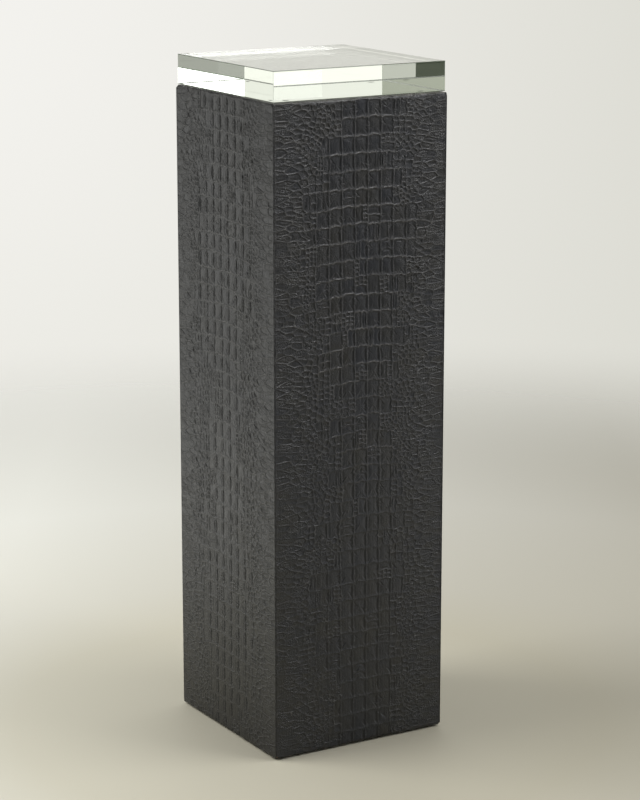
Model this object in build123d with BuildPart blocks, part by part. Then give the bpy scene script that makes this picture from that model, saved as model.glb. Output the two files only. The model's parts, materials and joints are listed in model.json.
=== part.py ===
"""Display plinth: a tall square box covered in scale-embossed hide, with a thick clear glass slab on top.

The box is a mitred fibreboard case with two internal diaphragms, four softwood corner posts, a top board and a base
board let into rabbets, and four plywood mitre splines.  Four hides wrap the sides, each turned over the top and bottom
edges: the left and right hides run the full depth, and the front and back hides butt between them, so every seam
stands one hide thickness in from a corner.  A fifth hide covers the deck.  The slab stands loose on four clear
bumpers, and the box stands on four nylon glides.

Frame: millimetres, +Z up, origin at the centre of the footprint on the floor.  The front hide faces -Y.
"""

from build123d import *
import os

# ---------------------------------------------------------------- driving dimensions
overall_h = 1066.8          # 42 in, floor to the top of the slab
body_w = 304.8              # 12 in, over the hides
body_h = 1016.0             # 40 in, hide-covered height
foot_gap = 3.0              # the glides lift the box this far off the floor
hide_t = 1.8                # hide thickness
turn_w = 14.0               # width of the hide turned over each edge
seam_gap = 0.3              # gap round the deck hide
butt_gap = 0.1              # gap at each upright seam
fold_r = 1.5                # outer radius of the turned edges
edge_r = 0.8                # eased outer corner at each upright cut edge

panel_t = 15.0              # fibreboard side panels
board_t = 18.0              # top and base boards
rabbet_ledge = 7.0          # panel left standing outside a rabbet
dado_d = 5.0                # depth of the diaphragm housings
diaphragm_t = 12.0
diaphragm_vent_r = 24.0     # air hole that lets the case breathe
lower_diaphragm_z = 350.0
upper_diaphragm_z = 690.0
wood_gap = 0.1              # running gap of a housed board, all round
post_w = 32.0               # corner posts, square
post_chamfer = 3.0

spline_l = 12.0             # across the mitre
spline_t = 3.0
spline_in = 8.5             # how far in from the outer corner, along both faces
spline_gap = 0.05

slab_w = 300.0              # clear glass slab
slab_t = 46.2
slab_arris = 0.9            # polished arris on all its edges
bumper_r = 6.0
bumper_t = 1.6
bumper_at = 118.0
slab_lift = 100.0           # travel that takes the slab clear of the bumpers

glide_r = 11.0
glide_at = 125.0
glide_lip = 0.8
nail_head_r = 4.0
nail_head_t = 1.0
nail_r = 1.25
nail_l = 14.0

screw_at = 110.6            # board screws, into the posts
screw_r = 2.0
screw_head_r = 4.0
screw_head_t = 2.0
screw_l = 42.0
screw_gap = 0.05
recess_w = 1.0              # cross recess of the screw heads
recess_l = 4.4
recess_d = 1.3

# ---------------------------------------------------------------- derived levels
body_z0 = foot_gap
body_z1 = body_z0 + body_h
core_z0 = body_z0 + hide_t
core_z1 = body_z1 - hide_t
core_h = core_z1 - core_z0
core_w = body_w - 2 * hide_t
half = body_w / 2
core_half = core_w / 2
cavity_half = core_half - panel_t
board_w = 2 * (core_half - rabbet_ledge)
dia_w = 2 * (cavity_half + dado_d)
inner_z0 = core_z0 + board_t
inner_z1 = core_z1 - board_t
post_in = cavity_half - post_w
post_at = cavity_half - post_w / 2
slab_z0 = body_z1 + bumper_t
slab_z1 = slab_z0 + slab_t

SIDES = {"front": 0, "right": 90, "back": 180, "left": 270}
CORNERS = {
    "front_left": (-1, -1),
    "front_right": (1, -1),
    "back_right": (1, 1),
    "back_left": (-1, 1),
}

os.makedirs("parts", exist_ok=True)


def save(part, name):
    part.label = name
    export_step(part, f"parts/{name}.step")


def four(at):
    """The four places at +-at in X and Y."""
    return GridLocations(2 * at, 2 * at, 2, 2)


# ---------------------------------------------------------------- clear slab
with BuildPart() as glass_slab:
    with BuildSketch(Plane.XY.offset(slab_z0)):
        Rectangle(slab_w, slab_w)
    extrude(amount=slab_t)
    chamfer(glass_slab.edges(), length=slab_arris)
save(glass_slab.part, "glass_slab")

with BuildPart() as clear_bumpers:
    with BuildSketch(Plane.XY.offset(body_z1)):
        with four(bumper_at):
            Circle(bumper_r)
    extrude(amount=bumper_t)
    chamfer(
        clear_bumpers.faces().group_by(Axis.Z)[-1].edges(), length=0.4
    )
save(clear_bumpers.part, "clear_bumpers")

# ---------------------------------------------------------------- hides
with BuildPart() as deck_hide:
    deck_w = body_w - 2 * turn_w - 2 * seam_gap
    with BuildSketch(Plane.XY.offset(core_z1)):
        Rectangle(deck_w, deck_w)
    extrude(amount=hide_t)
save(deck_hide.part, "deck_hide")

for side, turn in SIDES.items():
    base = Plane.XY.rotated((0, 0, turn))
    runs_through = side in ("left", "right")
    seam_at = core_half if runs_through else core_half - butt_gap
    with BuildPart() as hide:
        # a quarter of the box, cut on the two diagonals, which gives the mitred turned edges
        with BuildSketch(base.offset(body_z0)):
            Polygon((0, 0), (half, -half), (-half, -half), align=None)
            if runs_through:
                with Locations((0, -(half + core_half) / 2)):
                    Rectangle(body_w, hide_t)
            else:
                with Locations(((half + seam_at) / 2, -half), (-(half + seam_at) / 2, -half)):
                    Rectangle(half - seam_at, 4 * hide_t, mode=Mode.SUBTRACT)
        extrude(amount=body_h)
        with BuildSketch(base.offset(core_z0)):
            Rectangle(core_w, core_w)
        extrude(amount=core_h, mode=Mode.SUBTRACT)
        with BuildSketch(base.offset(body_z0)):
            Rectangle(body_w - 2 * turn_w, body_w - 2 * turn_w)
        extrude(amount=body_h, mode=Mode.SUBTRACT)
        # upright cut edges of the hides that run through, eased
        if runs_through:
            uprights = hide.edges().filter_by(
                lambda e: abs(e.length - body_h) < 0.01
                and abs(abs(e.center().X) - half) < 0.01
                and abs(abs(e.center().Y) - half) < 0.01
            )
            fillet(uprights, radius=edge_r)
        # soft fold where the hide turns over the top and bottom edges
        outward = {"front": (0, -1), "right": (1, 0), "back": (0, 1), "left": (-1, 0)}[side]
        folds = hide.edges().filter_by(
            lambda e: (
                abs(e.center().Z - body_z0) < 0.01 or abs(e.center().Z - body_z1) < 0.01
            )
            and abs(e.center().X * outward[0] + e.center().Y * outward[1] - half) < 0.01
        )
        fillet(folds, radius=fold_r)
    save(hide.part, f"hide_{side}")

# ---------------------------------------------------------------- case panels, mitred
for side, turn in SIDES.items():
    base = Plane.XY.rotated((0, 0, turn))
    with BuildPart() as panel:
        with BuildSketch(base.offset(core_z0)):
            Polygon(
                (-core_half, -core_half),
                (core_half, -core_half),
                (cavity_half, -cavity_half),
                (-cavity_half, -cavity_half),
                align=None,
            )
        extrude(amount=core_h)
        # rabbets for the base board and the top board
        with BuildSketch(base.offset(core_z0)):
            Rectangle(board_w, board_w)
        extrude(amount=board_t, mode=Mode.SUBTRACT)
        with BuildSketch(base.offset(inner_z1)):
            Rectangle(board_w, board_w)
        extrude(amount=board_t, mode=Mode.SUBTRACT)
        # housings for the diaphragms
        for level in (lower_diaphragm_z, upper_diaphragm_z):
            with BuildSketch(base.offset(level - wood_gap)):
                Rectangle(dia_w, dia_w)
            extrude(amount=diaphragm_t + 2 * wood_gap, mode=Mode.SUBTRACT)
        # spline grooves across both mitres
        with BuildSketch(base.offset(inner_z0)):
            for sx, angle in ((-1, -45), (1, 45)):
                with Locations(
                    Location(
                        (sx * (core_half - spline_in), -(core_half - spline_in), 0),
                        (0, 0, angle),
                    )
                ):
                    Rectangle(spline_l + 2 * spline_gap, spline_t + 2 * spline_gap)
        extrude(amount=inner_z1 - inner_z0, mode=Mode.SUBTRACT)
    save(panel.part, f"panel_{side}")

for corner, (sx, sy) in CORNERS.items():
    with BuildPart() as spline:
        with BuildSketch(Plane.XY.offset(inner_z0)):
            with Locations(
                Location(
                    (sx * (core_half - spline_in), sy * (core_half - spline_in), 0),
                    (0, 0, -45 * sx * sy),
                )
            ):
                Rectangle(spline_l, spline_t)
        extrude(amount=inner_z1 - inner_z0)
    save(spline.part, f"mitre_spline_{corner}")

# ---------------------------------------------------------------- corner posts
for corner, (sx, sy) in CORNERS.items():
    with BuildPart() as post:
        with BuildSketch(Plane.XY.offset(inner_z0)):
            with Locations((sx * post_at, sy * post_at)):
                Rectangle(post_w - 2 * wood_gap, post_w - 2 * wood_gap)
        extrude(amount=inner_z1 - inner_z0)
        inner_edge = (
            post.edges()
            .filter_by(Axis.Z)
            .sort_by(lambda e: sx * e.center().X + sy * e.center().Y)[0]
        )
        chamfer(inner_edge, length=post_chamfer)
        # pilot holes for the base screws and the top screws
        pilot_l = screw_l - board_t + 1.0
        for level in (inner_z0, inner_z1 - pilot_l):
            with BuildSketch(Plane.XY.offset(level)):
                with Locations((sx * screw_at, sy * screw_at)):
                    Circle(screw_r + screw_gap)
            extrude(amount=pilot_l, mode=Mode.SUBTRACT)
    save(post.part, f"corner_post_{corner}")

# ---------------------------------------------------------------- diaphragms
for name, level in (
    ("diaphragm_lower", lower_diaphragm_z),
    ("diaphragm_upper", upper_diaphragm_z),
):
    with BuildPart() as diaphragm:
        with BuildSketch(Plane.XY.offset(level)):
            Rectangle(dia_w - 2 * wood_gap, dia_w - 2 * wood_gap)
            Circle(diaphragm_vent_r, mode=Mode.SUBTRACT)
            # corners notched round the posts
            for sx, sy in CORNERS.values():
                with Locations((sx * (post_in + dia_w / 2) / 2, sy * (post_in + dia_w / 2) / 2)):
                    notch = dia_w / 2 - post_in
                    Rectangle(notch, notch, mode=Mode.SUBTRACT)
        extrude(amount=diaphragm_t)
    save(diaphragm.part, name)

# ---------------------------------------------------------------- top and base boards
with BuildPart() as top_board:
    with BuildSketch(Plane.XY.offset(inner_z1)):
        Rectangle(board_w - 2 * wood_gap, board_w - 2 * wood_gap)
    extrude(amount=board_t)
    with Locations(Plane.XY.offset(core_z1)):
        with four(screw_at):
            CounterSinkHole(
                radius=screw_r + screw_gap,
                counter_sink_radius=screw_head_r + screw_gap,
                depth=board_t,
                counter_sink_angle=90,
            )
save(top_board.part, "top_board")

with BuildPart() as base_board:
    with BuildSketch(Plane.XY.offset(core_z0)):
        Rectangle(board_w - 2 * wood_gap, board_w - 2 * wood_gap)
    extrude(amount=board_t)
    under = Plane(origin=(0, 0, core_z0), x_dir=(1, 0, 0), z_dir=(0, 0, -1))
    with Locations(under):
        with four(screw_at):
            CounterSinkHole(
                radius=screw_r + screw_gap,
                counter_sink_radius=screw_head_r + screw_gap,
                depth=board_t,
                counter_sink_angle=90,
            )
    with BuildSketch(Plane.XY.offset(core_z0)):
        with four(glide_at):
            Circle(nail_r + screw_gap)
    extrude(amount=nail_l - (core_z0 - glide_lip) + 0.5, mode=Mode.SUBTRACT)
save(base_board.part, "base_board")

# ---------------------------------------------------------------- screws
def screw_set(head_plane):
    """Four countersunk wood screws, heads flush with head_plane, driven against its normal."""
    with BuildPart() as screws:
        with Locations(head_plane):
            with four(screw_at):
                Cone(
                    bottom_radius=screw_r,
                    top_radius=screw_head_r,
                    height=screw_head_t,
                    align=(Align.CENTER, Align.CENTER, Align.MAX),
                )
        with BuildSketch(head_plane.offset(-screw_head_t)):
            with four(screw_at):
                Circle(screw_r)
        extrude(amount=-(screw_l - screw_head_t - 5.0))
        with Locations(head_plane.offset(-(screw_l - 5.0))):
            with four(screw_at):
                Cone(
                    bottom_radius=0.3,
                    top_radius=screw_r,
                    height=5.0,
                    align=(Align.CENTER, Align.CENTER, Align.MAX),
                )
        with BuildSketch(head_plane):
            with four(screw_at):
                Rectangle(recess_l, recess_w)
                Rectangle(recess_w, recess_l)
        extrude(amount=-recess_d, mode=Mode.SUBTRACT)
    return screws.part


save(screw_set(Plane.XY.offset(core_z1)), "top_board_screws")
save(screw_set(under), "base_board_screws")

# ---------------------------------------------------------------- glides and their nails
nail_z0 = glide_lip
for corner, (sx, sy) in CORNERS.items():
    with BuildPart() as glide:
        with BuildSketch(Plane.XY):
            with Locations((sx * glide_at, sy * glide_at)):
                Circle(glide_r)
        extrude(amount=core_z0)
        chamfer(glide.faces().sort_by(Axis.Z)[0].edges(), length=0.8)
        with BuildSketch(Plane.XY):
            with Locations((sx * glide_at, sy * glide_at)):
                Circle(nail_head_r + 0.1)
        extrude(amount=nail_z0 + nail_head_t, mode=Mode.SUBTRACT)
        with BuildSketch(Plane.XY):
            with Locations((sx * glide_at, sy * glide_at)):
                Circle(nail_r + screw_gap)
        extrude(amount=core_z0, mode=Mode.SUBTRACT)
    save(glide.part, f"glide_{corner}")

with BuildPart() as glide_nails:
    with BuildSketch(Plane.XY.offset(nail_z0)):
        with four(glide_at):
            Circle(nail_head_r)
    extrude(amount=nail_head_t)
    with BuildSketch(Plane.XY.offset(nail_z0 + nail_head_t)):
        with four(glide_at):
            Circle(nail_r)
    extrude(amount=nail_l - nail_head_t - 2.0)
    with Locations(Plane.XY.offset(nail_z0 + nail_l - 2.0)):
        with four(glide_at):
            Cone(
                bottom_radius=nail_r,
                top_radius=0.2,
                height=2.0,
                align=(Align.CENTER, Align.CENTER, Align.MIN),
            )
save(glide_nails.part, "glide_nails")

print("overall height", slab_z1, "should be", overall_h)
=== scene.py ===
"""Looks for the display plinth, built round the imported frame. Metres, +Z up, origin at the centre of the footprint."""

import json
import math

import bpy
import numpy as np
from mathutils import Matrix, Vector, geometry

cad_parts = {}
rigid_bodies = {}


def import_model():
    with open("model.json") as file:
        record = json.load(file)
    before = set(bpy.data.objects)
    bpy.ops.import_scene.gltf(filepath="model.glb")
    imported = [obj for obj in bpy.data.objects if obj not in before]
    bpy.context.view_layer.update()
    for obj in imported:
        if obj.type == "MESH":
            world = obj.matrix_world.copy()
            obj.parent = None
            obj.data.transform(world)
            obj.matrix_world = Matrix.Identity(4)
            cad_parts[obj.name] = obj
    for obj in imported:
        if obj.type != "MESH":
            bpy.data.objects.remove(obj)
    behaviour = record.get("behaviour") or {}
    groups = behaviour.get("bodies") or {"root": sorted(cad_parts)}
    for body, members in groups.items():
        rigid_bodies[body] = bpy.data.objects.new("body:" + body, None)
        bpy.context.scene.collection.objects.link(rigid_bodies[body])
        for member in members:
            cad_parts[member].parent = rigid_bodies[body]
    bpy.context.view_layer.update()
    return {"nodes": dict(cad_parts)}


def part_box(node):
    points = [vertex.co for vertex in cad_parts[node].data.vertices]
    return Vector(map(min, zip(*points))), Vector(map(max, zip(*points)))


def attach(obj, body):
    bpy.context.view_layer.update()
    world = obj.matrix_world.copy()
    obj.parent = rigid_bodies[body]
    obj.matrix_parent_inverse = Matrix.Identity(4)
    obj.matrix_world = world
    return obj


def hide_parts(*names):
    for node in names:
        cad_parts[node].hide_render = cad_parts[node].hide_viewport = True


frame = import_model()
scene = bpy.context.scene
MM = 0.001

# ------------------------------------------------------------------------------------------------ sizes from the frame
lo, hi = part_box("hide_left")
BODY_HALF = -lo.x / MM            # 152.4
BODY_Z0, BODY_Z1 = lo.z / MM, hi.z / MM
lo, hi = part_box("hide_front")
FRONT_HALF = hi.x / MM            # 150.5
TURN = (hi.y - lo.y) / MM         # 14
lo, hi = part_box("deck_hide")
DECK_HALF, DECK_Z0, DECK_Z1 = hi.x / MM, lo.z / MM, hi.z / MM
HIDE_T = DECK_Z1 - DECK_Z0
SLAB_LO, SLAB_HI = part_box("glass_slab")
FOLD_R = 1.5


# ------------------------------------------------------------------------------------------------ camera
def make_camera():
    data = bpy.data.cameras.new("camera")
    data.sensor_fit = "AUTO"
    data.sensor_width = 36.0
    data.lens = 115.65
    data.clip_start, data.clip_end = 0.05, 200.0
    data.dof.use_dof = False
    camera = bpy.data.objects.new("camera", data)
    scene.collection.objects.link(camera)
    camera.location = (-2.0082, -3.4095, 1.4650)
    camera.rotation_euler = (math.radians(90 - 13.348), 0.0, math.radians(-30.725))
    scene.camera = camera


make_camera()


# ------------------------------------------------------------------------------------------------ node helpers
def new_material(name):
    m = bpy.data.materials.new(name)
    m.use_nodes = True
    t = m.node_tree
    shader = next(n for n in t.nodes if n.type == "BSDF_PRINCIPLED")
    out = next(n for n in t.nodes if n.type == "OUTPUT_MATERIAL")
    return m, t, shader, out


def add(t, kind, **values):
    n = t.nodes.new(kind)
    for k, v in values.items():
        if hasattr(n, k):
            setattr(n, k, v)
        else:
            n.inputs[k.replace("_", " ")].default_value = v
    return n


def link(t, a, b):
    t.links.new(a, b)


def ramp(t, source, stops):
    r = t.nodes.new("ShaderNodeValToRGB")
    while len(r.color_ramp.elements) < len(stops):
        r.color_ramp.elements.new(0.5)
    for e, (at, colour) in zip(r.color_ramp.elements, stops):
        e.position = at
        e.color = (*colour, 1.0)
    link(t, source, r.inputs["Fac"])
    return r.outputs["Color"]


def remap(t, source, a, b, c, d):
    n = t.nodes.new("ShaderNodeMapRange")
    n.inputs["From Min"].default_value = a
    n.inputs["From Max"].default_value = b
    n.inputs["To Min"].default_value = c
    n.inputs["To Max"].default_value = d
    link(t, source, n.inputs["Value"])
    return n.outputs["Result"]


def maths(t, op, a, b=None):
    n = t.nodes.new("ShaderNodeMath")
    n.operation = op
    for i, x in enumerate((a, b)):
        if x is None:
            continue
        if isinstance(x, (int, float)):
            n.inputs[i].default_value = x
        else:
            link(t, x, n.inputs[i])
    return n.outputs[0]


def coords(t, scale=(1.0, 1.0, 1.0)):
    c = t.nodes.new("ShaderNodeTexCoord")
    m = t.nodes.new("ShaderNodeMapping")
    m.inputs["Scale"].default_value = scale
    link(t, c.outputs["Object"], m.inputs["Vector"])
    return m.outputs["Vector"]


def noise(t, vector, scale, detail=2.0, rough=0.5, distortion=0.0):
    n = t.nodes.new("ShaderNodeTexNoise")
    n.inputs["Scale"].default_value = scale
    n.inputs["Detail"].default_value = detail
    n.inputs["Roughness"].default_value = rough
    n.inputs["Distortion"].default_value = distortion
    link(t, vector, n.inputs["Vector"])
    return n.outputs["Fac"]


def bump(t, shader, height, strength, distance, normal=None):
    b = t.nodes.new("ShaderNodeBump")
    b.inputs["Strength"].default_value = strength
    b.inputs["Distance"].default_value = distance
    link(t, height, b.inputs["Height"])
    if normal is not None:
        link(t, normal, b.inputs["Normal"])
    if shader is not None:
        link(t, b.outputs["Normal"], shader.inputs["Normal"])
    return b.outputs["Normal"]


# ------------------------------------------------------------------------------------------------ materials
def leather_material():
    """Waxed black hide: a painted highlight on the crests, a soft sheen on the scales, dull pits beside the crests
    darkened with painted shade, fine pore grain.
    """
    m, t, s, _ = new_material("embossed_hide")
    v = coords(t)

    def value(name):
        a = t.nodes.new("ShaderNodeAttribute")
        a.attribute_name = name
        return a.outputs["Fac"]

    def blend(a, b, f):
        mix = t.nodes.new("ShaderNodeMix")
        mix.data_type = "RGBA"
        for x, socket in ((a, "A"), (b, "B")):
            if isinstance(x, tuple):
                mix.inputs[socket].default_value = (*x, 1.0)
            else:
                link(t, x, mix.inputs[socket])
        link(t, f, mix.inputs["Factor"])
        return mix.outputs["Result"]

    crest, pit, tone, even = value("crest"), value("pit"), value("tone"), value("even")
    drift = noise(t, v, 9.0, 3.0, 0.55)
    mottle = noise(t, v, 260.0, 3.0, 0.6)
    mixed = maths(t, "ADD", maths(t, "MULTIPLY", drift, 0.55), maths(t, "MULTIPLY", mottle, 0.25))
    mixed = maths(t, "ADD", mixed, maths(t, "MULTIPLY", tone, 0.25))
    base = ramp(
        t, mixed,
        [(0.25, (0.0060, 0.0072, 0.0108)), (0.50, (0.0092, 0.0096, 0.0100)), (0.80, (0.0150, 0.0138, 0.0098))],
    )
    cool = ramp(t, mixed, [(0.30, (0.0042, 0.0060, 0.0100)), (0.75, (0.0085, 0.0100, 0.0135))])
    base = blend(base, cool, maths(t, "MULTIPLY", even, remap(t, noise(t, v, 22.0, 3.0), 0.40, 0.62, 0.0, 0.75)))
    # painted shade: the pits are darkened nearly to black
    base = blend(base, (0.0022, 0.0022, 0.0024), remap(t, pit, 0.15, 0.90, 0.0, 0.92))
    # painted highlight: the crests are lightened to pale grey in patches, for the light they catch
    crest_highlight = maths(t, "MULTIPLY", remap(t, crest, 0.40, 0.95, 0.0, 1.0), remap(t, noise(t, v, 330.0, 3.0, 0.6), 0.38, 0.62, 0.25, 1.0))
    base = blend(base, (0.120, 0.116, 0.110), crest_highlight)
    place = t.nodes.new("ShaderNodeSeparateXYZ")
    link(t, v, place.inputs[0])
    fold = remap(t, place.outputs["Z"], (BODY_Z1 - 1.6) * MM, (BODY_Z1 - 0.3) * MM, 0.0, 1.0)
    foot = remap(t, place.outputs["Z"], (BODY_Z0 + 2.5) * MM, (BODY_Z0 + 0.5) * MM, 0.0, 0.8)
    wear_and_highlight = maths(t, "MULTIPLY", maths(t, "MAXIMUM", fold, foot), remap(t, noise(t, v, 90.0, 3.0), 0.35, 0.65, 0.25, 1.0))
    base = blend(base, (0.050, 0.047, 0.035), wear_and_highlight)
    link(t, base, s.inputs["Base Color"])
    rough = remap(t, mottle, 0.2, 0.8, 0.28, 0.38)
    rough = maths(t, "ADD", rough, maths(t, "MULTIPLY", pit, 0.16))
    link(t, rough, s.inputs["Roughness"])
    s.inputs["Specular IOR Level"].default_value = 0.5
    pores = t.nodes.new("ShaderNodeTexVoronoi")
    pores.feature = "DISTANCE_TO_EDGE"
    pores.inputs["Scale"].default_value = 1100.0
    link(t, v, pores.inputs["Vector"])
    grain = remap(t, pores.outputs["Distance"], 0.0, 0.22, 0.0, 1.0)
    n1 = bump(t, None, grain, 0.22, 0.00012)
    creases = noise(t, coords(t, (1.0, 1.0, 0.16)), 330.0, 2.0, 0.5, 0.4)
    n2 = bump(t, None, creases, 0.45, 0.0010, n1)
    fine = t.nodes.new("ShaderNodeTexVoronoi")
    fine.feature = "DISTANCE_TO_EDGE"
    fine.inputs["Scale"].default_value = 330.0
    link(t, v, fine.inputs["Vector"])
    net = remap(t, fine.outputs["Distance"], 0.0, 0.20, 1.0, 0.0)
    net = maths(t, "MULTIPLY", net, remap(t, noise(t, v, 60.0, 2.0), 0.36, 0.58, 0.10, 1.0))
    net = maths(t, "MULTIPLY", net, remap(t, even, 0.0, 1.0, 1.0, 0.06))
    n3 = bump(t, None, net, 0.55, 0.0010, n2)
    soft = noise(t, v, 190.0, 3.0, 0.6)
    bump(t, s, soft, 0.18, 0.0014, n3)
    return m


def absorb(t, out):
    a = t.nodes.new("ShaderNodeVolumeAbsorption")
    a.inputs["Color"].default_value = (0.66, 0.86, 0.62, 1.0)
    a.inputs["Density"].default_value = 0.55
    link(t, a.outputs[0], out.inputs["Volume"])


def arris_material():
    """The narrow ground edge of the slab, duller and darker than the polished faces."""
    m, t, s, out = new_material("ground_arris")
    n = noise(t, coords(t), 700.0, 2.0)
    link(t, ramp(t, n, [(0.3, (0.10, 0.115, 0.09)), (0.7, (0.17, 0.19, 0.15))]), s.inputs["Base Color"])
    link(t, remap(t, n, 0.2, 0.8, 0.30, 0.42), s.inputs["Roughness"])
    s.inputs["Transmission Weight"].default_value = 0.7
    s.inputs["IOR"].default_value = 1.5
    absorb(t, out)
    return m


def glass_material():
    m, t, s, out = new_material("clear_glass")
    s.inputs["Transmission Weight"].default_value = 1.0
    s.inputs["IOR"].default_value = 1.5
    s.inputs["Specular IOR Level"].default_value = 0.5
    s.inputs["Roughness"].default_value = 0.0
    v = coords(t)
    cast = ramp(t, noise(t, v, 3.0, 1.0), [(0.3, (0.985, 0.996, 0.988)), (0.7, (0.990, 0.998, 0.992))])
    link(t, cast, s.inputs["Base Color"])
    absorb(t, out)
    return m


def plain_material(name, low, high, scale, rough, stretch=(1, 1, 1), bump_by=0.15, bump_scale=None, metallic=0.0, detail=4.0,
                   depth=0.0003):
    """A two-tone procedural finish: colour, roughness and surface from noise, stretched where the material has a grain."""
    m, t, s, _ = new_material(name)
    v = coords(t, stretch)
    n = noise(t, v, scale, detail, 0.6)
    link(t, ramp(t, n, [(0.30, low), (0.70, high)]), s.inputs["Base Color"])
    link(t, remap(t, n, 0.25, 0.75, rough[0], rough[1]), s.inputs["Roughness"])
    s.inputs["Metallic"].default_value = metallic
    bump(t, s, noise(t, v, bump_scale or scale * 3, 3.0), bump_by, depth)
    return m


def pine_material():
    m, t, s, _ = new_material("pine")
    v = coords(t, (1.0, 1.0, 0.05))
    w = t.nodes.new("ShaderNodeTexWave")
    w.wave_type = "BANDS"
    w.bands_direction = "X"
    w.inputs["Scale"].default_value = 90.0
    w.inputs["Distortion"].default_value = 7.0
    w.inputs["Detail"].default_value = 2.5
    w.inputs["Detail Scale"].default_value = 1.2
    link(t, v, w.inputs["Vector"])
    link(t, ramp(t, w.outputs["Fac"], [(0.15, (0.70, 0.49, 0.28)), (0.85, (0.84, 0.66, 0.43))]), s.inputs["Base Color"])
    link(t, remap(t, w.outputs["Fac"], 0, 1, 0.62, 0.5), s.inputs["Roughness"])
    bump(t, s, w.outputs["Fac"], 0.12, 0.0003)
    return m


def plywood_material():
    m, t, s, _ = new_material("plywood")
    v = coords(t)
    w = t.nodes.new("ShaderNodeTexWave")
    w.wave_type = "BANDS"
    w.bands_direction = "DIAGONAL"
    w.inputs["Scale"].default_value = 260.0
    w.inputs["Distortion"].default_value = 0.4
    link(t, v, w.inputs["Vector"])
    n = noise(t, coords(t, (1, 1, 0.08)), 400.0, 3.0)
    both = maths(t, "ADD", maths(t, "MULTIPLY", w.outputs["Fac"], 0.6), maths(t, "MULTIPLY", n, 0.4))
    link(t, ramp(t, both, [(0.2, (0.55, 0.38, 0.22)), (0.8, (0.78, 0.62, 0.42))]), s.inputs["Base Color"])
    link(t, remap(t, n, 0.2, 0.8, 0.55, 0.7), s.inputs["Roughness"])
    bump(t, s, n, 0.15, 0.0003)
    return m


LEATHER = leather_material()
GLASS = glass_material()
ARRIS = arris_material()
FIBREBOARD = plain_material("fibreboard", (0.42, 0.29, 0.18), (0.54, 0.40, 0.27), 700.0, (0.7, 0.85), bump_by=0.2)
PAINTED = plain_material("painted_board", (0.016, 0.016, 0.016), (0.026, 0.026, 0.026), 320.0, (0.62, 0.78), bump_by=0.25)
PINE = pine_material()
PLYWOOD = plywood_material()
ZINC = plain_material("zinc", (0.50, 0.50, 0.47), (0.64, 0.64, 0.62), 900.0, (0.28, 0.42), metallic=1.0, bump_by=0.05)
NYLON = plain_material("black_nylon", (0.014, 0.014, 0.015), (0.022, 0.022, 0.023), 600.0, (0.42, 0.55), bump_by=0.1)


def silicone_material():
    m, t, s, _ = new_material("clear_silicone")
    v = coords(t)
    n = noise(t, v, 500.0, 2.0)
    link(t, ramp(t, n, [(0.3, (0.84, 0.87, 0.86)), (0.7, (0.90, 0.92, 0.91))]), s.inputs["Base Color"])
    link(t, remap(t, n, 0.2, 0.8, 0.18, 0.3), s.inputs["Roughness"])
    s.inputs["Transmission Weight"].default_value = 0.9
    s.inputs["IOR"].default_value = 1.41
    return m


SILICONE = silicone_material()


# ------------------------------------------------------------------------------------------------ embossed hides
def lattice_noise(x, y, scale, seed):
    """Smooth noise in -1..1 at the points x, y, with lattice cells of the given size."""
    table = np.random.RandomState(seed).rand(64, 64) * 2 - 1
    u, v = x / scale + 4096.0, y / scale + 4096.0
    iu, iv = np.floor(u).astype(int), np.floor(v).astype(int)
    fu, fv = u - iu, v - iv
    fu, fv = fu * fu * (3 - 2 * fu), fv * fv * (3 - 2 * fv)
    a, b = table[iu % 64, iv % 64], table[(iu + 1) % 64, iv % 64]
    c, d = table[iu % 64, (iv + 1) % 64], table[(iu + 1) % 64, (iv + 1) % 64]
    return (a * (1 - fu) + b * fu) * (1 - fv) + (c * (1 - fu) + d * fu) * fv


# Across the hide, x is squeezed towards the edges before the scales are laid out, so that scales there come out wide and low.
_XS = np.linspace(0, 200, 801)
_SQUEEZE = np.concatenate([[0], np.cumsum(1 / (1 + 1.5 * np.clip((_XS[1:] - 84) / 34, 0, 1)))]) * (_XS[1] - _XS[0])


def squeeze(x):
    return np.sign(x) * np.interp(np.abs(x), _XS, _SQUEEZE)


def unsqueeze(q):
    return np.sign(q) * np.interp(np.abs(q), _SQUEEZE, _XS)


ROW = 26.8                         # pitch of the transverse rows
ROW_0 = 28.7                       # first row line below the top edge
COLUMNS = [-98, -80.5, -57, -34.5, -11.4, 11.4, 34.5, 57, 80.5, 98]
BAND = [(-30, 58), (100, 60), (160, 80), (185, 98), (300, 98), (335, 60), (400, 58), (440, 42), (480, 42), (520, 58),
        (690, 58), (760, 80), (860, 80), (930, 60), (1060, 58)]
BOW = [(-30, 1.0), (200, 1.5), (300, 4.0), (420, 6.0), (560, 6.0), (700, 3.0), (1060, 1.0)]


def heart(co, c, turn):
    """A point that sees the whole ring: the centroid where it does, or else the best of a grid of points."""
    a, b = co, np.roll(co, -1, axis=0)
    e = b - a
    length = np.maximum(np.hypot(e[:, 0], e[:, 1]), 1e-6)

    def room(p):
        return float((turn * (e[:, 0] * (p[1] - a[:, 1]) - e[:, 1] * (p[0] - a[:, 0])) / length).min())

    first = room(c)
    if first > 0.9:
        return c, first
    lo_, hi_ = co.min(0), co.max(0)
    best, where = first, c
    for i in range(1, 12):
        for j in range(1, 12):
            p = lo_ + (hi_ - lo_) * np.array([i / 12, j / 12])
            r = room(p)
            if r > best:
                best, where = r, p
    if first > 0.6 * best:
        return c, first
    return where, best


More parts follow.
